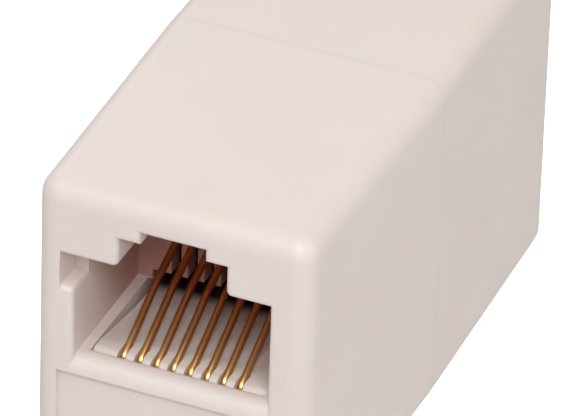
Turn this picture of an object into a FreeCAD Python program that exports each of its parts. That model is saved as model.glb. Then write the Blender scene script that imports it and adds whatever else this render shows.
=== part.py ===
"""RJ45 inline coupler: two moulded half housings joined at a seam in the middle of the
length, each with a keyed eight-way modular jack, and eight leads that join the jacks.

Frame: +Z up, origin at the bottom centre, X the width, Y the length.  The front mouth
faces -Y and the rear mouth +Y.  "Depth" is the distance in +Y behind the front face.
Each half is drawn as the front half, and the rear one is then turned half a turn about Z.
"""
import FreeCAD, Part
import math
import os
import re

import Sketcher

os.makedirs("parts", exist_ok=True)
doc = FreeCAD.newDocument("inline_coupler")

# ------------------------------------------------------- driving dimensions, mm and degrees
SIZES = [
    # housing
    ("body_length", 37.6, "overall length, mouth to mouth"),
    ("body_height", 22.0, "overall height"),
    ("end_width", 16.5, "width at each mouth"),
    ("seam_width", 17.2, "width at the seam, wider by the moulding draft"),
    ("outer_round", 1.3, "upright corners and edges round the top and the bottom"),
    ("floor_wall", 1.5, "bottom wall"),
    ("roof_wall", 1.6, "top wall"),
    ("side_wall", 1.75, "side wall at the seam"),
    # plug opening, from the top down
    ("latch_roof", 2.0, "top of the housing to the top of the latch slot"),
    ("latch_tip_rise", 0.75, "narrow top step of the latch slot"),
    ("latch_tip_width", 3.9, "width of that step"),
    ("latch_base_rise", 1.85, "wide part of the latch slot, over the shoulders"),
    ("latch_base_width", 6.5, "width of that part"),
    ("catch_wall", 1.1, "wall that the latch hooks behind"),
    ("catch_room", 4.6, "recess behind that wall, front to back"),
    ("mouth_width", 11.8, "plug opening"),
    ("mouth_height", 6.75, "rails to shoulders"),
    ("mouth_depth", 9.15, "front face to the comb wall"),
    ("mouth_round", 0.35, "edges of the opening and long edges of the shoulders"),
    ("key_width", 0.8, "key slot beside the opening"),
    ("key_height", 2.15, "height of the key slot, below the shoulder"),
    ("key_depth", 2.2, "key slot, front to back"),
    ("sill_drop", 1.05, "rails to the top of the sunk panel"),
    ("sill_round", 0.95, "rounded lead-in in front of the rails"),
    ("sill_wall", 1.4, "front wall below the opening"),
    ("sill_back", 0.4, "rounded back edge of that wall"),
    ("panel_width", 13.7, "sunk panel below the sill"),
    ("panel_foot", 1.7, "bottom of the housing to the sunk panel"),
    ("panel_sink", 0.35, "depth of the sunk panel"),
    # comb wall behind the opening
    ("comb_wall", 1.2, "comb wall, front to back"),
    ("comb_gap", 0.65, "rails to the lower edge of the comb"),
    ("comb_foot", 0.3, "how far the comb's feet stand over the bay"),
    ("comb_fit", 0.07, "clearance beside a contact in its slot"),
    ("comb_headroom", 1.5, "slot above a contact at rest"),
    # carrier under the contacts
    ("bay_width", 10.6, "bay that takes the carrier"),
    ("carrier_fit", 0.05, "clearance round the carrier at its nose"),
    ("carrier_taper", 0.4, "how much each side of the carrier draws in to its back"),
    ("carrier_length", 11.0, "nose to back"),
    ("nose_drop", 0.05, "rails to the top of the nose"),
    ("nose_round", 0.5, "rounded top of the nose"),
    ("nose_flat", 1.0, "level top of the nose, front to back"),
    ("ramp_length", 4.3, "ramp behind that level top"),
    ("ramp_drop", 0.5, "how much it falls"),
    ("plate_thickness", 2.7, "nose plate, top to underside"),
    ("leg_wall", 1.0, "legs under the plate at the nose"),
    # contacts
    ("contact_count", 8, "contacts in each jack"),
    ("contact_pitch", 1.016, "spacing of the contacts"),
    ("wire_size", 0.46, "contact wire"),
    ("wire_bend", 0.6, "centre-line radius of its bends"),
    ("wire_fit", 0.03, "clearance round it in its groove"),
    ("wire_sink", 0.22, "how far it lies below the face of the nose"),
    ("wire_drop", 0.42, "top of the nose to the corner of its centre line"),
    ("spring_angle", 28.1, "rise of the sprung part"),
    ("knee_depth", 6.5, "depth at which the sprung part bends down a little"),
    ("knee_bend", 3.0, "centre-line radius of that bend"),
    ("knee_angle", 20.5, "rise of the sprung part beyond it"),
    ("spring_past", 0.6, "free end, past the comb wall"),
    ("tail_past", 0.6, "soldered end, past the carrier"),
    # tongue that lines up the halves
    ("tongue_length", 1.2, "how far the tongue passes the seam"),
    ("tongue_root", 3.0, "tongue along its own wall"),
    ("tongue_wall", 0.7, "thickness of the tongue"),
    ("tongue_fit", 0.08, "clearance beside it in the other half"),
    ("tongue_margin", 2.0, "top and bottom walls to the tongue"),
    # leads
    ("lead_size", 0.8, "insulated lead"),
    ("lead_gap", 0.25, "space between leads where they cross"),
    ("lead_bend", 0.9, "centre-line radius of its bends"),
    ("lead_straight", 1.0, "straight run at each end"),
    ("lead_fan", 3.5, "length in the middle over which the leads fan across"),
]
ALIASES = {alias for alias, _, _ in SIZES}

sheet = doc.addObject("Spreadsheet::Sheet", "Sizes")
for row, (alias, value, note) in enumerate(SIZES, start=1):
    sheet.set("A%d" % row, alias)
    sheet.set("B%d" % row, str(value))
    sheet.set("C%d" % row, note)
    sheet.setAlias("B%d" % row, alias)
doc.recompute()

# Heights, depths and widths that several pieces share, written as expressions.
LATCH_TOP = "(body_height - latch_roof)"
LATCH_STEP = "(%s - latch_tip_rise)" % LATCH_TOP
SHOULDER = "(%s - latch_base_rise)" % LATCH_STEP
RAIL = "(%s - mouth_height)" % SHOULDER
KEY_FOOT = "(%s - key_height)" % SHOULDER
SILL = "(%s - sill_drop)" % RAIL
NOSE_TOP = "(%s - nose_drop)" % RAIL
BED = "(%s - plate_thickness)" % NOSE_TOP
ROOF = "(body_height - roof_wall)"

NOSE = "(sill_wall + carrier_fit)"
COMB_BACK = "(mouth_depth + comb_wall)"
CARRIER_BACK = "(%s + carrier_length)" % NOSE
CARRIER_WIDTH = "(bay_width - 2 * carrier_fit)"
CHAMBER_WIDTH = "(seam_width - 2 * side_wall)"

WIRE_CLEAR = "(wire_size / 2 + wire_fit)"
WIRE_FRONT = "(%s + wire_sink + wire_size / 2)" % NOSE
WIRE_CORNER = "(%s - wire_drop)" % NOSE_TOP
KNEE = "(%s + (knee_depth - %s) * tan(spring_angle))" % (WIRE_CORNER, WIRE_FRONT)
FIRST_CONTACT = "(-(contact_count - 1) * contact_pitch / 2)"
CONTACT_SPAN = "((contact_count - 1) * contact_pitch)"
SPRING_TIP = "(%s + spring_past)" % COMB_BACK
TAIL_END = "(%s + tail_past)" % CARRIER_BACK


def spring_height(depth):
    """Height of a contact's centre line at a depth beyond the knee of its sprung part."""
    return "(%s + (%s - knee_depth) * tan(knee_angle))" % (KNEE, depth)


def hexagon(across, up, size):
    """Corners of a six-sided section.  Wires and leads are drawn with six flat sides, their
    corners on the real round one, which keeps the model light."""
    corners = []
    for i in range(6):
        turn = "%d deg" % (60 * i + 30)
        corners.append((
            "%s + %s / 2 * cos(%s)" % (across, size, turn),
            "%s + %s / 2 * sin(%s)" % (up, size, turn)))
    return corners


def behind(depth):
    """Y of a depth behind the front face."""
    return "(%s - body_length / 2)" % depth


def bound(text):
    """Expression with each driving dimension pointed at its cell of the sheet."""
    return re.sub(
        r"[a-z_]+",
        lambda word: "Sizes." + word.group() if word.group() in ALIASES else word.group(),
        text,
    )


def value(text):
    """Number that an expression comes to, in mm."""
    return float(sheet.evalExpression(bound(text)))


# ------------------------------------------------------------------- sketches and features
def new_body(label, placement):
    body = doc.addObject("PartDesign::Body", label)
    body.Label = label
    body.Placement = placement
    return body


def sketch_on(body, role, name, offset="0"):
    """Empty sketch on one of the body's origin planes, moved along the plane's normal."""
    sketch = body.newObject("Sketcher::SketchObject", name)
    planes = [item for item in body.Origin.OriginFeatures if item.Role == role]
    sketch.AttachmentSupport = [(planes[0], "")]
    sketch.MapMode = "FlatFace"
    sketch.setExpression("AttachmentOffset.Base.z", bound(offset))
    return sketch


def face_sketch(body, name, depth="0"):
    """Sketch parallel to the front face, at a depth behind it."""
    return sketch_on(body, "XZ_Plane", name, "(body_length / 2 - %s)" % depth)


def bind(sketch, constraint, text):
    """Add a constraint whose value follows an expression."""
    index = sketch.addConstraint(constraint)
    sketch.setExpression("Constraints[%d]" % index, bound(text))


def draw(sketch, corners, closed=True):
    """Straight lines through corners (across, up, radius), with an arc in each corner
    that has a radius, all held by constraints bound to the sheet."""
    spots = [FreeCAD.Vector(value(c[0]), value(c[1]), 0) for c in corners]
    radii = [value(c[2]) if len(c) > 2 else 0.0 for c in corners]
    count = len(corners)
    enter = list(spots)
    leave = list(spots)
    for i in range(count):
        if radii[i]:
            back = (spots[i - 1] - spots[i]).normalize()
            ahead = (spots[(i + 1) % count] - spots[i]).normalize()
            reach = radii[i] / math.tan(back.getAngle(ahead) / 2)
            enter[i] = spots[i] + back * reach
            leave[i] = spots[i] + ahead * reach
    lines = []
    for i in range(count if closed else count - 1):
        line = Part.LineSegment(leave[i], enter[(i + 1) % count])
        lines.append(sketch.addGeometry(line, False))
    for i in range(count):
        before = lines[i - 1] if closed or i > 0 else None
        after = lines[i] if i < len(lines) else None
        if radii[i]:
            place_round(sketch, corners[i], spots[i], before, after, radii[i])
            continue
        point = (after, 1) if after is not None else (before, 2)
        bind(sketch, Sketcher.Constraint("DistanceX", *point, spots[i].x), corners[i][0])
        bind(sketch, Sketcher.Constraint("DistanceY", *point, spots[i].y), corners[i][1])
        if before is not None and after is not None:
            sketch.addConstraint(Sketcher.Constraint("Coincident", before, 2, after, 1))


def place_round(sketch, corner, spot, before, after, radius):
    """Arc between two lines, tangent to both, whose sharp corner stays where it is given."""
    enter = sketch.Geometry[before].EndPoint
    leave = sketch.Geometry[after].StartPoint
    inward = ((enter - spot).normalize() + (leave - spot).normalize()).normalize()
    half = (enter - spot).getAngle(leave - spot) / 2
    centre = spot + inward * (radius / math.sin(half))
    left_turn = (spot - enter).cross(leave - spot).z > 0
    first, last = (enter, leave) if left_turn else (leave, enter)
    start = math.atan2(first.y - centre.y, first.x - centre.x)
    end = math.atan2(last.y - centre.y, last.x - centre.x)
    circle = Part.Circle(centre, FreeCAD.Vector(0, 0, 1), radius)
    arc = sketch.addGeometry(Part.ArcOfCircle(circle, start, end), False)
    enter_end, leave_end = (1, 2) if left_turn else (2, 1)
    mark = sketch.addGeometry(Part.Point(spot), True)
    bind(sketch, Sketcher.Constraint("DistanceX", mark, 1, spot.x), corner[0])
    bind(sketch, Sketcher.Constraint("DistanceY", mark, 1, spot.y), corner[1])
    sketch.addConstraint(Sketcher.Constraint("PointOnObject", mark, 1, before))
    sketch.addConstraint(Sketcher.Constraint("PointOnObject", mark, 1, after))
    sketch.addConstraint(Sketcher.Constraint("Tangent", before, 2, arc, enter_end))
    sketch.addConstraint(Sketcher.Constraint("Tangent", arc, leave_end, after, 1))
    bind(sketch, Sketcher.Constraint("Radius", arc, radius), corner[2])


def rectangle(left, right, low, high):
    """Corners of a rectangle for draw()."""
    return [(left, low), (right, low), (right, high), (left, high)]


def extrude(body, kind, sketch, name, length, symmetric=False, inverse=False):
    """Pad or Pocket of a sketch, checked to have added or taken material."""
    doc.recompute()
    before = body.Shape.Volume if body.Tip else 0.0
    feature = body.newObject("PartDesign::" + kind, name)
    feature.Profile = sketch
    feature.SideType = "Symmetric" if symmetric else "One side"
    feature.Reversed = inverse
    feature.setExpression("Length", bound(length))
    doc.recompute()
    change = body.Shape.Volume - before
    if (change > 0) != (kind == "Pad") or abs(change) < 1e-6:
        raise RuntimeError("%s of %s changed nothing" % (name, body.Label))
    return feature


def repeat_contacts(body, feature, sketch, axis):
    """Copy a feature that is drawn at the first contact to each of the others."""
    pattern = body.newObject("PartDesign::LinearPattern", feature.Name + "Row")
    pattern.Originals = [feature]
    pattern.Direction = (sketch, [axis])
    pattern.setExpression("Length", bound(CONTACT_SPAN))
    pattern.setExpression("Occurrences", bound("contact_count"))
    body.Tip = pattern
    doc.recompute()
    return pattern


def round_edges(body, name, radius, wanted):
    """Fillet on each edge of the body's shape that wanted() accepts."""
    doc.recompute()
    base = body.Tip
    names = ["Edge%d" % (i + 1) for i, edge in enumerate(base.Shape.Edges) if wanted(edge)]
    feature = body.newObject("PartDesign::Fillet", name)
    feature.Base = (base, names)
    feature.setExpression("Radius", bound(radius))
    body.Tip = feature
    doc.recompute()
    return feature


def on_plane(edge, axis, place):
    """True if an edge lies in the plane where one coordinate is at a place."""
    box = edge.BoundBox
    low = getattr(box, axis + "Min")
    high = getattr(box, axis + "Max")
    return abs(low - place) < 1e-4 and abs(high - place) < 1e-4


# ------------------------------------------------------------------------------- housing
def make_shell(label, placement):
    """Half housing: drafted block, stepped and keyed mouth, sill, comb wall and chamber."""
    body = new_body(label, FreeCAD.Placement())
    front = value(behind("0"))

    plan = sketch_on(body, "XY_Plane", "BlockPlan")
    draw(plan, [
        ("-end_width / 2", behind("0")),
        ("end_width / 2", behind("0")),
        ("seam_width / 2", "0"),
        ("-seam_width / 2", "0"),
    ])
    extrude(body, "Pad", plan, "Block", "body_height")

    def upright_corner(edge):
        return on_plane(edge, "Y", front) and edge.BoundBox.XLength < 1e-4

    def outer_loop(edge):
        level = on_plane(edge, "Z", 0) or on_plane(edge, "Z", value("body_height"))
        return level and not on_plane(edge, "Y", 0)

    round_edges(body, "OuterRound", "outer_round",
                lambda edge: upright_corner(edge) or outer_loop(edge))

    cut_mouth(body)
    add_sill(body)
    cut_catch_and_panel(body)
    cut_bay_and_chamber(body)
    add_tongue(body)
    body.Placement = placement
    return body


def cut_mouth(body):
    """Plug opening with its latch slot and key slot, and the rounding of their edges."""
    mouth = face_sketch(body, "MouthProfile")
    draw(mouth, rectangle("-mouth_width / 2", "mouth_width / 2", SILL, SHOULDER))
    extrude(body, "Pocket", mouth, "Mouth", "mouth_depth")

    middle = "(%s + %s) / 2" % (RAIL, SHOULDER)
    base = face_sketch(body, "LatchBaseProfile")
    draw(base, rectangle("-latch_base_width / 2", "latch_base_width / 2", middle, LATCH_STEP))
    extrude(body, "Pocket", base, "LatchBase", "mouth_depth")

    tip = face_sketch(body, "LatchTipProfile")
    draw(tip, rectangle("-latch_tip_width / 2", "latch_tip_width / 2", SHOULDER, LATCH_TOP))
    extrude(body, "Pocket", tip, "LatchTip", "catch_wall")

    key = face_sketch(body, "KeyProfile")
    draw(key, rectangle(
        "-mouth_width / 2 - key_width", "-mouth_width / 2", KEY_FOOT, SHOULDER))
    extrude(body, "Pocket", key, "KeySlot", "key_depth")

    front = value(behind("0"))
    jamb = value("mouth_width / 2")
    slot = value("latch_base_width / 2")
    key_wall = jamb + value("key_width")

    def front_edge(edge):
        box = edge.BoundBox
        inside = -key_wall - 1e-4 < box.XMin and box.XMax < jamb + 1e-4
        left_sharp = on_plane(edge, "Z", value(SILL)) or on_plane(edge, "X", -key_wall)
        return on_plane(edge, "Y", front) and inside and not left_sharp

    def long_edge(edge):
        shoulder = on_plane(edge, "X", -slot) or on_plane(edge, "X", slot)
        key = on_plane(edge, "X", -jamb) and on_plane(edge, "Z", value(KEY_FOOT))
        return edge.BoundBox.YLength > 1e-4 and (
            key or shoulder and on_plane(edge, "Z", value(SHOULDER)))

    round_edges(body, "MouthRound", "mouth_round",
                lambda edge: front_edge(edge) or long_edge(edge))


def add_sill(body):
    """Sill with its rounded lead-in, and the two rails that run back from it."""
    side = sketch_on(body, "YZ_Plane", "SillSide")
    draw(side, [
        (behind("0"), SILL),
        (behind("mouth_depth"), SILL),
        (behind("mouth_depth"), RAIL),
        (behind("0"), RAIL, "sill_round"),
    ])
    extrude(body, "Pad", side, "Sill", "(mouth_width + 2 * mouth_round)", symmetric=True)


def cut_catch_and_panel(body):
    """Recess behind the catch, and the sunk panel below the sill."""
    room = face_sketch(body, "CatchRoomProfile", "catch_wall")
    draw(room, rectangle("-latch_base_width / 2", "latch_base_width / 2", SHOULDER, ROOF))
    extrude(body, "Pocket", room, "CatchRoom", "catch_room")

    panel = face_sketch(body, "PanelProfile")
    draw(panel, rectangle("-panel_width / 2", "panel_width / 2", "panel_foot", SILL))
    extrude(body, "Pocket", panel, "Panel", "panel_sink")


def cut_bay_and_chamber(body):
    """Bay for the carrier, middle chamber, and the comb wall left between them."""
    bay = sketch_on(body, "XZ_Plane", "BayProfile")
    draw(bay, rectangle("-bay_width / 2", "bay_width / 2", "floor_wall", RAIL))
    extrude(body, "Pocket", bay, "Bay", "body_length / 2 - sill_wall", inverse=True)
    back_of_sill = value(behind("sill_wall"))
    rail = value(RAIL)
    jamb = value("mouth_width / 2")

    def top_of_back(edge):
        level = on_plane(edge, "Y", back_of_sill) and on_plane(edge, "Z", rail)
        return level and edge.BoundBox.XMax < jamb + 1e-4 and edge.BoundBox.XMin > -jamb - 1e-4

    round_edges(body, "SillBack", "sill_back", top_of_back)

    chamber = sketch_on(body, "XZ_Plane", "ChamberProfile")
    draw(chamber, rectangle(
        "-%s / 2" % CHAMBER_WIDTH, "%s / 2" % CHAMBER_WIDTH, "floor_wall", ROOF))
    extrude(body, "Pocket", chamber, "Chamber", "body_length / 2 - " + COMB_BACK, inverse=True)

    gap = face_sketch(body, "CombGapProfile", "mouth_depth")
    half_gap = "(bay_width / 2 - comb_foot)"
    draw(gap, rectangle("-" + half_gap, half_gap, RAIL, "%s + comb_gap" % RAIL))
    extrude(body, "Pocket", gap, "CombGap", "comb_wall")

    slot = face_sketch(body, "CombSlotProfile", "mouth_depth")
    half_slot = "(wire_size / 2 + comb_fit)"
    draw(slot, rectangle(
        "%s - %s" % (FIRST_CONTACT, half_slot), "%s + %s" % (FIRST_CONTACT, half_slot),
        "%s + comb_gap / 2" % RAIL, "%s + comb_headroom" % spring_height(COMB_BACK)))
    first = extrude(body, "Pocket", slot, "CombSlot", "comb_wall")
    repeat_contacts(body, first, slot, "H_Axis")


def add_tongue(body):
    """Tongue inside one side wall that enters the other half and lines the two up."""
    plan = sketch_on(body, "XY_Plane", "TonguePlan", "(floor_wall + tongue_margin)")
    wall = "%s / 2" % CHAMBER_WIDTH
    inner = "%s - tongue_fit - tongue_wall" % wall
    draw(plan, [
        (inner, "-tongue_root"),
        (wall, "-tongue_root"),
        (wall, "0"),
        (wall + " - tongue_fit", "0"),
        (wall + " - tongue_fit", "tongue_length"),
        (inner, "tongue_length"),
    ])
    tall = "%s - floor_wall - 2 * tongue_margin" % ROOF
    extrude(body, "Pad", plan, "Tongue", tall)


# ------------------------------------------------------------------------------- carrier
def make_carrier(label, placement):
    """Bridge under the contacts: a ramped plate with a grooved nose, on two legs."""
    body = new_body(label, FreeCAD.Placement())
    ramp_start = "(%s + nose_flat)" % NOSE
    ramp_end = "(%s + ramp_length)" % ramp_start
    ramp_low = "(%s - ramp_drop)" % NOSE_TOP

    side = sketch_on(body, "YZ_Plane", "CarrierSide")
    draw(side, [
        (behind(NOSE), "floor_wall"),
        (behind(CARRIER_BACK), "floor_wall"),
        (behind(CARRIER_BACK), ramp_low),
        (behind(ramp_end), ramp_low),
        (behind(ramp_start), NOSE_TOP),
        (behind(NOSE), NOSE_TOP, "nose_round"),
    ])
    extrude(body, "Pad", side, "Bridge", CARRIER_WIDTH, symmetric=True)

    taper = sketch_on(body, "XY_Plane", "TaperPlan")
    for side in ("", "-"):
        draw(taper, [
            (side + CARRIER_WIDTH + " / 2", behind(NOSE)),
            (side + CARRIER_WIDTH + " / 2", behind(CARRIER_BACK)),
            (side + "(%s / 2 - carrier_taper)" % CARRIER_WIDTH, behind(CARRIER_BACK)),
        ])
    extrude(body, "Pocket", taper, "Taper", "body_height", inverse=True)

    span = face_sketch(body, "SpanProfile")
    inner = "(%s / 2 - leg_wall)" % CARRIER_WIDTH
    draw(span, rectangle("-" + inner, inner, "floor_wall", BED))
    extrude(body, "Pocket", span, "Span", CARRIER_BACK)

    groove = sketch_on(body, "YZ_Plane", "GrooveSide", FIRST_CONTACT)
    above = "%s + wire_size" % NOSE_TOP
    back_of_wire = "(%s + %s)" % (WIRE_FRONT, WIRE_CLEAR)
    rise = "(tan(spring_angle) - 1 / cos(spring_angle))"
    top_corner = "(%s + %s * %s)" % (WIRE_CORNER, WIRE_CLEAR, rise)
    above_depth = "(%s + (%s - %s) / tan(spring_angle))" % (back_of_wire, above, top_corner)
    roof = "(%s + %s)" % (BED, WIRE_CLEAR)
    bevel = "(0.7 * (wire_bend - %s))" % WIRE_CLEAR
    short = "(%s / 2)" % bevel
    draw(groove, [
        (behind("sill_wall"), "%s - wire_size" % BED),
        (behind(TAIL_END), "%s - wire_size" % BED),
        (behind(TAIL_END), roof),
        (behind("(%s + %s)" % (back_of_wire, bevel)), roof),
        (behind(back_of_wire), "%s + %s" % (roof, bevel)),
        (behind(back_of_wire), "%s - %s" % (top_corner, short)),
        (behind("(%s + %s * cos(spring_angle))" % (back_of_wire, short)),
         "%s + %s * sin(spring_angle)" % (top_corner, short)),
        (behind(above_depth), above),
        (behind("sill_wall"), above),
    ])
    first = extrude(body, "Pocket", groove, "Groove", "2 * " + WIRE_CLEAR, symmetric=True)
    repeat_contacts(body, first, groove, "N_Axis")
    body.Placement = placement
    return body


# ------------------------------------------------------------------------------ contacts
def make_contact(label, number, placement):
    """One sprung wire: soldered end, run under the carrier, round the nose, up to the comb."""
    body = new_body(label, FreeCAD.Placement())
    across = "(%s + %d * contact_pitch)" % (FIRST_CONTACT, number - 1)

    path = sketch_on(body, "YZ_Plane", "WirePath", across)
    draw(path, [
        (behind(TAIL_END), BED),
        (behind(WIRE_FRONT), BED, "wire_bend"),
        (behind(WIRE_FRONT), WIRE_CORNER, "wire_bend"),
        (behind("knee_depth"), KNEE, "knee_bend"),
        (behind(SPRING_TIP), spring_height(SPRING_TIP)),
    ], closed=False)

    section = face_sketch(body, "WireSection", TAIL_END)
    draw(section, hexagon(across, BED, "wire_size"))

    doc.recompute()
    wire = body.newObject("PartDesign::AdditivePipe", "Wire")
    wire.Profile = section
    wire.Spine = (path, [])
    body.Tip = wire
    body.Placement = placement
    doc.recompute()
    return body


# --------------------------------------------------------------------------------- leads
def rounded_path(points, radius):
    """Wire of straight runs joined by tangent arcs of one radius."""
    edges = []
    start = points[0]
    for before, here, after in zip(points, points[1:], points[2:]):
        back = (before - here).normalize()
        ahead = (after - here).normalize()
        half = back.getAngle(ahead) / 2
        reach = radius / math.tan(half)
        middle = here + (back + ahead).normalize() * (radius / math.sin(half) - radius)
        enter = here + back * reach
        leave = here + ahead * reach
        edges.append(Part.LineSegment(start, enter).toShape())
        edges.append(Part.Arc(enter, middle, leave).toShape())
        start = leave
    edges.append(Part.LineSegment(start, points[-1]).toShape())
    return Part.Wire(edges)


def make_lead(label, number):
    """Insulated lead from a contact of the front jack to the same one of the rear jack,
    which lies on the other side, so each lead crosses the others at its own height."""
    across = value("%s + %d * contact_pitch" % (FIRST_CONTACT, number - 1))
    bed = value(BED)
    rank = number - (value("contact_count") + 1) / 2
    level = bed + rank * value("lead_size + lead_gap")
    stops = [
        (across, value(behind(TAIL_END)), bed),
        (across, value(behind(TAIL_END) + " + lead_straight"), bed),
        (across, value("-lead_fan / 2"), level),
    ]
    points = [FreeCAD.Vector(*stop) for stop in stops]
    points += [FreeCAD.Vector(-x, -y, z) for x, y, z in reversed(stops)]
    path = rounded_path(points, value("lead_bend"))
    ring = [
        FreeCAD.Vector(value(x), points[0].y, value(z))
        for x, z in hexagon(str(across), str(bed), "lead_size")
    ]
    section = Part.makePolygon(ring + ring[:1])
    lead = doc.addObject("Part::Feature", label)
    lead.Label = label
    lead.Shape = path.makePipeShell([section], True, False)
    lead.Placement = FreeCAD.Placement()
    drawn = Part.Face(section).Area * path.Length
    if abs(lead.Shape.Volume / drawn - 1) > 0.001:
        raise RuntimeError("%s is not section times length" % label)
    return lead


# --------------------------------------------------------------------------- whole part
HALF_TURN = FreeCAD.Placement(
    FreeCAD.Vector(0, 0, 0), FreeCAD.Rotation(FreeCAD.Vector(0, 0, 1), 180)
)
HALVES = [("front", FreeCAD.Placement()), ("rear", HALF_TURN)]
numbers = range(1, int(value("contact_count")) + 1)

pieces = []
for side, placement in HALVES:
    pieces.append(make_shell(side + "_shell", placement))
    pieces.append(make_carrier(side + "_carrier", placement))
    for number in numbers:
        pieces.append(make_contact("%s_contact_%d" % (side, number), number, placement))
for number in numbers:
    pieces.append(make_lead("link_wire_%d" % number, number))
doc.recompute()

for item in doc.Objects:
    if "Invalid" in item.State or "Error" in item.State:
        raise RuntimeError("%s failed: %s" % (item.Label, item.State))
for piece in pieces:
    shape = piece.Shape
    if shape.isNull() or not shape.isValid() or len(shape.Solids) != 1:
        raise RuntimeError("%s is not one valid solid" % piece.Label)

for piece in pieces:
    piece.Shape.exportStep("parts/%s.step" % piece.Label)
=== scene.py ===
import math

import bpy
from mathutils import Matrix, Vector


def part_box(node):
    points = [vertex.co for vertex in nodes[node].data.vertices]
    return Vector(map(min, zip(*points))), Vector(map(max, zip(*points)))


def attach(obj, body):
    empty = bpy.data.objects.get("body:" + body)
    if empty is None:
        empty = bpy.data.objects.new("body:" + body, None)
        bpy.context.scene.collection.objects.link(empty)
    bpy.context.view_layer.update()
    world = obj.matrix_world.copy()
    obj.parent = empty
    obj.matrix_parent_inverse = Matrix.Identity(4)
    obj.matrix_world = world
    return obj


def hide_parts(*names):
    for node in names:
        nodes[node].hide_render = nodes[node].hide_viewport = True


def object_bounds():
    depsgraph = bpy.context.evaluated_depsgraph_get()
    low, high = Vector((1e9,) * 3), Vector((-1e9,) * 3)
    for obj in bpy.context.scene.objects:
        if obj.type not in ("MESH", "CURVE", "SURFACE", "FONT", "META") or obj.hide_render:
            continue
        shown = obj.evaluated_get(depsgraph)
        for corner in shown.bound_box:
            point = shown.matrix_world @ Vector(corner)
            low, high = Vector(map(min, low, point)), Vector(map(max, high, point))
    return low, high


# Inline network coupler: two moulded halves end to end, with a carrier and eight sprung
# contacts in each and eight leads between them.

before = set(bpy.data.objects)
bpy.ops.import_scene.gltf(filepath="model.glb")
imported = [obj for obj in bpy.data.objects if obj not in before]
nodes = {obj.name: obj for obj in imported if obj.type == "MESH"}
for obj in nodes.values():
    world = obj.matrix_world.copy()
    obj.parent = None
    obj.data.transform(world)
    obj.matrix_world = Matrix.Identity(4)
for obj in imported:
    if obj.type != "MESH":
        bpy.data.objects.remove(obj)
cad_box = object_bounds()

MM = 0.001
FACE = cad_box[1].y / MM           # mm from the middle to the front face
MIDDLE = Vector((0, 0, (cad_box[0].z + cad_box[1].z) / 2))   # of the coupler, in m

CONTACTS = 8
WIRE = 0.46                        # mm across a contact's wire
# Centre line of a front contact: mm behind the front face, mm above the underside and the
# radius that it is bent to there.  A rear contact is the same one, turned half round.
SPRING_LINE = (
    (13.05, 7.90, 0.0),            # soldered end, under the carrier
    (1.90, 7.90, 0.6),             # foot of the carrier's nose
    (1.90, 10.18, 0.6),            # over the nose
    (6.50, 12.636, 3.0),           # knee of the sprung part
    (10.95, 14.30, 0.0),           # tip, through the comb
)

SOCKET_SIDE = 7.4                  # mm from the middle to past the widest part of a socket
SOCKET_ROOF = 20.7                 # mm above the underside, just over the top of a socket

# Insulation of the leads, in the order of the contacts that they join.
LEAD_COLOURS = {
    "blue": "#1F4E9E", "orange": "#E8772A", "black": "#1E1D1F", "red": "#B5202A",
    "green": "#2B7A3D", "yellow": "#E3C02F", "brown": "#6B432A", "white": "#DAD8D2",
}

LAMP_REACH = 0.5                   # m from the coupler's middle to each lamp
FLOOR_REACH = 0.6                  # m from the middle to the floor's edges

AZIMUTH = 21.95                    # degrees round from the front mouth towards +X
ELEVATION = 33.45                  # degrees above the floor
ROLL = 1.88                        # degrees that the camera is turned about its own axis
DISTANCE = 421.1 * MM              # from the camera to its aim
SENSOR = 36.0                      # mm across the camera's sensor
LENS = 468.7                       # mm of focal length
AIM = Vector((0.288, -3.21, 13.09)) * MM

# ---------------------------------------------------------------------------- helpers


def linear(hex_colour):
    """sRGB hex to the linear RGBA that a shader takes."""
    channels = [int(hex_colour[i:i + 2], 16) / 255 for i in (1, 3, 5)]
    curve = [c / 12.92 if c <= 0.04045 else ((c + 0.055) / 1.055) ** 2.4 for c in channels]
    return (*curve, 1.0)


def add(tree, kind, settings=None, **links):
    """Add a node.  Settings that name an input socket set it, others set the node itself.
    Links join an input, with _ for a space, to another node's output."""
    node = tree.nodes.new("ShaderNode" + kind)
    for name, setting in (settings or {}).items():
        if name in node.inputs:
            node.inputs[name].default_value = setting
        else:
            setattr(node, name, setting)
    for name, source in links.items():
        tree.links.new(source, node.inputs[name.replace("_", " ")])
    return node


def blank(name):
    """New material with an empty node tree and its output node."""
    material = bpy.data.materials.new(name)
    material.use_nodes = True
    tree = material.node_tree
    tree.nodes.clear()
    return material, tree, tree.nodes.new("ShaderNodeOutputMaterial")


def dress(node_name, material):
    """Give a node of the frame its finish."""
    mesh = nodes[node_name].data
    mesh.materials.clear()
    mesh.materials.append(material)


def outward(azimuth, elevation):
    """Direction away from the coupler, in degrees round from the front mouth towards +X and
    degrees above the floor."""
    round_by = math.radians(azimuth)
    up_by = math.radians(elevation)
    return Vector((
        math.sin(round_by) * math.cos(up_by),
        -math.cos(round_by) * math.cos(up_by),
        math.sin(up_by),
    ))


# ------------------------------------------------------------------------ contact wires


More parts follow.
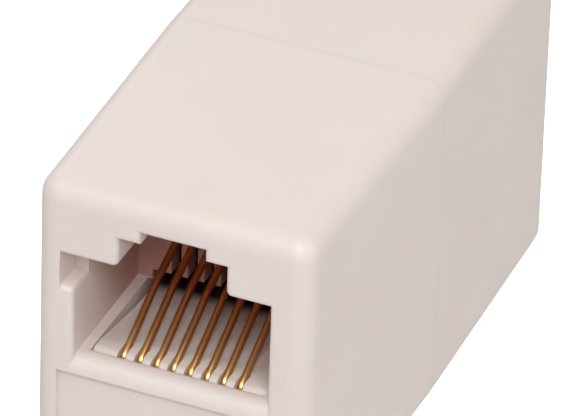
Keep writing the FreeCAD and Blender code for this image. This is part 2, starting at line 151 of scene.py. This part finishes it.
def bent_curve(name, stops, thickness):
    """Round wire through stops (point, bend radius): straight runs joined by round bends."""
    data = bpy.data.curves.new(name, "CURVE")
    data.dimensions = "3D"
    data.bevel_depth = thickness / 2
    data.bevel_resolution = 3
    data.resolution_u = 6
    data.use_fill_caps = True
    # Each bend is one arc between two points: reach is how far they lie from the corner, and
    # pull is the length of the handles that make the arc round.
    line = [(stops[0][0], None, None)]
    for (before, _), (here, radius), (after, _) in zip(stops, stops[1:], stops[2:]):
        back = (before - here).normalized()
        ahead = (after - here).normalized()
        turn = math.pi - back.angle(ahead)
        reach = radius * math.tan(turn / 2)
        pull = radius * math.tan(turn / 4) * 4 / 3
        line.append((here + back * reach, None, -back * pull))
        line.append((here + ahead * reach, -ahead * pull, None))
    line.append((stops[-1][0], None, None))
    spline = data.splines.new("BEZIER")
    spline.bezier_points.add(len(line) - 1)
    for index, (spot, arrive, leave) in enumerate(line):
        point = spline.bezier_points[index]
        point.handle_left_type = point.handle_right_type = "FREE"
        if arrive is None:
            arrive = (line[max(index - 1, 0)][0] - spot) / 3
        if leave is None:
            leave = (line[min(index + 1, len(line) - 1)][0] - spot) / 3
        point.co = spot
        point.handle_left = spot + arrive
        point.handle_right = spot + leave
    return bpy.data.objects.new(name, data)


def spring_wire(side, number, material):
    """Smooth round wire in place of a six-sided contact."""
    contact = "%s_contact_%d" % (side, number)
    low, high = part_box(contact)
    turn = 1 if side == "front" else -1
    stops = [
        (Vector(((low.x + high.x) / 2, turn * (depth - FACE) * MM, height * MM)), bend * MM)
        for depth, height, bend in SPRING_LINE
    ]
    wire = bent_curve("%s_spring_wire_%d" % (side, number), stops, WIRE * MM)
    wire.data.materials.append(material)
    bpy.context.scene.collection.objects.link(wire)
    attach(wire, "root")
    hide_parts(contact)


# -------------------------------------------------------------------------- materials


def painted_socket_shade(tree, place, start, end, low):
    """Mask for the painted shade far in a socket: 0 outside the socket, at its mouth and below a
    height, and rising to 1 between two distances behind the front face.  All are in mm, and both
    ends are alike."""
    side_fade = 0.4
    foot_fade = 0.06
    middle = (low + SOCKET_ROOF) / 2
    reach = (SOCKET_ROOF - low) / 2
    centred = add(tree, "Mapping", {"Location": (0, 0, -middle * MM)}, Vector=place)
    spread = add(tree, "VectorMath", {"operation": "ABSOLUTE"}, Vector=centred.outputs["Vector"])
    away = add(tree, "SeparateXYZ", Vector=spread.outputs["Vector"])
    sideways = add(tree, "MapRange", {
        "From Min": (SOCKET_SIDE + side_fade) * MM, "From Max": SOCKET_SIDE * MM,
    }, Value=away.outputs["X"])
    level = add(tree, "MapRange", {
        "From Min": reach * MM, "From Max": (reach - foot_fade) * MM,
    }, Value=away.outputs["Z"], To_Max=sideways.outputs["Result"])
    depth = add(tree, "MapRange", {
        "interpolation_type": "SMOOTHSTEP",
        "From Min": (FACE - start) * MM, "From Max": (FACE - end) * MM,
    }, Value=away.outputs["Y"], To_Max=level.outputs["Result"])
    return depth.outputs["Result"]


def moulded_plastic(name, colour, shade, roughness, painted_shade_colour, painted_shade_depths, seam=0.0):
    """Thermoplastic, injection moulded in a fine spark-eroded cavity: a satin skin that breaks
    up highlights, a little uneven in tone where the melt met, and slightly translucent.  Far
    in the socket its colour is painted a darker warm brown, painted shade for the shade and
    bounced light in there; it rises between two distances behind the front face and above a
    height, given with the shade's colour.  Two mouldings meet in a fine line round the middle, as
    strong as seam says."""
    material, tree, output = blank(name)
    place = add(tree, "TexCoord").outputs["Object"]
    # The cavity's grain is a few hundredths of a millimetre wide.  It is drawn coarser to show.
    grain = add(tree, "TexNoise", {"Scale": 1 / (0.25 * MM), "Detail": 3.0}, Vector=place)
    flow = add(tree, "TexNoise", {"Scale": 1 / (9 * MM), "Detail": 2.0}, Vector=place)
    tone = add(tree, "ValToRGB", Fac=flow.outputs["Fac"])
    tone.color_ramp.elements[0].position = 0.35
    tone.color_ramp.elements[0].color = linear(shade)
    tone.color_ramp.elements[1].position = 0.65
    tone.color_ramp.elements[1].color = linear(colour)
    # The joint's line is full within 0.02 mm of the middle and gone at 0.22 mm.
    spread = add(tree, "VectorMath", {"operation": "ABSOLUTE"}, Vector=place)
    across = add(tree, "SeparateXYZ", Vector=spread.outputs["Vector"])
    line = add(tree, "MapRange", {
        "interpolation_type": "SMOOTHSTEP",
        "From Min": 0.22 * MM, "From Max": 0.02 * MM, "To Max": seam,
    }, Value=across.outputs["Y"])
    joined = add(tree, "MixRGB", {"Color2": linear("#A89A90")},
                 Fac=line.outputs["Result"], Color1=tone.outputs["Color"])
    # Painted shade: a darker, warmer colour far in the socket.
    painted_shade_mix = add(tree, "MixRGB", {"Color2": linear(painted_shade_colour)},
                Fac=painted_socket_shade(tree, place, *painted_shade_depths), Color1=joined.outputs["Color"])
    skin = add(tree, "Bump", {"Strength": 0.06, "Distance": 0.02 * MM}, Height=grain.outputs["Fac"])
    surface = add(tree, "BsdfPrincipled", {
        "Roughness": roughness, "IOR": 1.53,
        "Subsurface Weight": 0.12, "Subsurface Scale": 0.6 * MM,
        "Subsurface Radius": (1.0, 0.6, 0.45),
    }, Base_Color=painted_shade_mix.outputs["Color"], Normal=skin.outputs["Normal"])
    tree.links.new(surface.outputs["BSDF"], output.inputs["Surface"])
    return material


def gold_wire(name):
    """Phosphor bronze wire, drawn and then gold plated: a yellow metal whose fine lines
    along the wire stretch its highlights.  Its colour is painted pale at the bend over the
    nose, a painted highlight, and darker copper up the shaft, painted shade."""
    material, tree, output = blank(name)
    place = add(tree, "TexCoord").outputs["Object"]
    # The die's lines are a few thousandths of a millimetre apart.  They are drawn coarser to
    # show, 0.06 mm across the row of contacts.
    along = add(tree, "Mapping", {
        "Scale": (1 / (0.06 * MM), 1 / (3 * MM), 1 / (3 * MM)),
    }, Vector=place)
    lines = add(tree, "TexNoise", {"Scale": 1.0, "Detail": 2.0}, Vector=along.outputs["Vector"])
    # From just under the top of the carrier's nose to just past the contact's knee: a painted
    # highlight at the bend that gives way to painted shade up the shaft.
    rise = add(tree, "SeparateXYZ", Vector=place)
    height = add(tree, "MapRange", {
        "From Min": 10.0 * MM, "From Max": 13.0 * MM,
    }, Value=rise.outputs["Z"])
    tone = add(tree, "ValToRGB", Fac=height.outputs["Result"])
    tone.color_ramp.elements[0].position = 0.10
    tone.color_ramp.elements[0].color = linear("#FFE0A0")
    tone.color_ramp.elements[1].position = 1.0
    tone.color_ramp.elements[1].color = linear("#E0A068")
    tone.color_ramp.elements.new(0.45).color = linear("#E8BA80")
    drawn = add(tree, "MixRGB", {"blend_type": "MULTIPLY", "Color2": linear("#B89468")},
                Fac=lines.outputs["Fac"], Color1=tone.outputs["Color"])
    surface = add(tree, "BsdfPrincipled", {
        "Metallic": 1.0, "Roughness": 0.3,
    }, Base_Color=drawn.outputs["Color"])
    tree.links.new(surface.outputs["BSDF"], output.inputs["Surface"])
    return material


def lead_insulation(name, colour):
    """PVC insulation, extruded over a stranded lead: an even colour with a soft sheen and
    faint waves left by the strands."""
    material, tree, output = blank(name)
    place = add(tree, "TexCoord").outputs["Object"]
    waves = add(tree, "TexNoise", {"Scale": 1 / (1.2 * MM), "Detail": 1.0}, Vector=place)
    skin = add(tree, "Bump", {"Strength": 0.15, "Distance": 0.03 * MM}, Height=waves.outputs["Fac"])
    surface = add(tree, "BsdfPrincipled", {
        "Base Color": linear(colour), "Roughness": 0.45, "IOR": 1.52,
    }, Normal=skin.outputs["Normal"])
    tree.links.new(surface.outputs["BSDF"], output.inputs["Surface"])
    return material


# ----------------------------------------------------------------------- coupler's pieces

# Far in each socket the housing's colour is painted darker and warmer: painted shade.
housing = moulded_plastic(
    "abs_warm_white_moulded", "#EBE0D8", "#E9DDD5", roughness=0.42,
    painted_shade_colour="#CCA092", painted_shade_depths=(2.0, 8.0, 10.68), seam=0.05)
# At the back of the carrier, under the comb, its colour is painted near black: a painted shadow.
carrier = moulded_plastic(
    "pbt_pale_grey_moulded", "#E6DCD3", "#E0D6CC", roughness=0.5,
    painted_shade_colour="#32140B", painted_shade_depths=(8.7, 9.9, 7.0))
plated = gold_wire("gold_plated_bronze_wire")
for side in ("front", "rear"):
    dress(side + "_shell", housing)
    dress(side + "_carrier", carrier)
    for number in range(1, CONTACTS + 1):
        dress("%s_contact_%d" % (side, number), plated)
        spring_wire(side, number, plated)
for number, (colour_name, colour) in enumerate(LEAD_COLOURS.items(), start=1):
    dress("link_wire_%d" % number, lead_insulation("pvc_%s_extruded" % colour_name, colour))

# ---------------------------------------------------------------------- floor and sky


def studio_floor():
    """Pale floor that shows as white and still takes the coupler's soft shadow."""
    mesh = bpy.data.meshes.new("floor")
    corners = [
        (x * FLOOR_REACH, y * FLOOR_REACH, 0)
        for x, y in ((-1, -1), (1, -1), (1, 1), (-1, 1))
    ]
    mesh.from_pydata(corners, [], [(0, 1, 2, 3)])
    floor = bpy.data.objects.new("floor", mesh)
    floor.location.z = -0.02 * MM      # a hair under the coupler, which rests at zero
    bpy.context.scene.collection.objects.link(floor)
    material, tree, output = blank("studio_paper")
    seen = add(tree, "LightPath").outputs["Is Camera Ray"]
    paper = add(tree, "BsdfDiffuse", {"Color": (0.8, 0.8, 0.8, 1.0)})
    glow = add(tree, "Emission", {"Color": (1.0, 1.0, 1.0, 1.0)}, Strength=seen)
    both = add(tree, "AddShader")
    tree.links.new(paper.outputs["BSDF"], both.inputs[0])
    tree.links.new(glow.outputs["Emission"], both.inputs[1])
    tree.links.new(both.outputs["Shader"], output.inputs["Surface"])
    mesh.materials.append(material)


def studio_sky(level=0.2):
    """Even grey light from all round, with a white backdrop for the eye and for metal."""
    world = bpy.data.worlds.new("studio")
    bpy.context.scene.world = world
    world.use_nodes = True
    tree = world.node_tree
    tree.nodes.clear()
    path = add(tree, "LightPath")
    seen = add(tree, "Math", {"operation": "MAXIMUM"})
    tree.links.new(path.outputs["Is Camera Ray"], seen.inputs[0])
    tree.links.new(path.outputs["Is Glossy Ray"], seen.inputs[1])
    lit = add(tree, "Background", {"Color": (1.0, 0.98, 0.96, 1.0), "Strength": level})
    white = add(tree, "Background", {"Color": (1.0, 1.0, 1.0, 1.0), "Strength": 1.0})
    mix = add(tree, "MixShader", Fac=seen.outputs["Value"])
    tree.links.new(lit.outputs["Background"], mix.inputs[1])
    tree.links.new(white.outputs["Background"], mix.inputs[2])
    output = tree.nodes.new("ShaderNodeOutputWorld")
    tree.links.new(mix.outputs["Shader"], output.inputs["Surface"])


def softbox(name, azimuth, elevation, size, watts, colour=(1.0, 1.0, 1.0)):
    """Square area lamp aimed at the coupler's middle."""
    lamp = bpy.data.lights.new(name, "AREA")
    lamp.size = size
    lamp.energy = watts
    lamp.color = colour
    box = bpy.data.objects.new(name, lamp)
    out = outward(azimuth, elevation)
    box.location = MIDDLE + out * LAMP_REACH
    box.rotation_euler = (-out).to_track_quat("-Z", "Y").to_euler()
    bpy.context.scene.collection.objects.link(box)


studio_floor()
studio_sky()
softbox("key_front", 25, 43, 0.14, 1.12, (0.94, 0.94, 1.0))
softbox("key_high", 12, 68, 0.08, 0.30)
softbox("fill_front_left", -40, 45, 0.25, 0.38)
softbox("fill_right", 95, 25, 0.30, 0.51)
softbox("fill_back_left", -135, 30, 0.30, 0.40)
softbox("top_back", 180, 60, 0.30, 0.14, (1.0, 0.93, 0.84))

# ------------------------------------------------------------------------------ camera


def place_camera():
    """Camera that looks at its aim from in front of, above and right of the mouth, with a
    small roll about its own axis."""
    back = outward(AZIMUTH, ELEVATION)
    level = outward(AZIMUTH + 90, 0)
    upright = back.cross(level)
    roll = math.radians(ROLL)
    right = level * math.cos(roll) + upright * math.sin(roll)
    up = upright * math.cos(roll) - level * math.sin(roll)
    turn = Matrix((right, up, back)).transposed()
    camera = bpy.data.objects.new("camera", bpy.data.cameras.new("camera"))
    camera.data.sensor_width = SENSOR
    camera.data.lens = LENS
    camera.matrix_world = Matrix.Translation(AIM + back * DISTANCE) @ turn.to_4x4()
    bpy.context.scene.collection.objects.link(camera)
    bpy.context.scene.camera = camera


place_camera()
bpy.context.scene.view_settings.view_transform = "Standard"
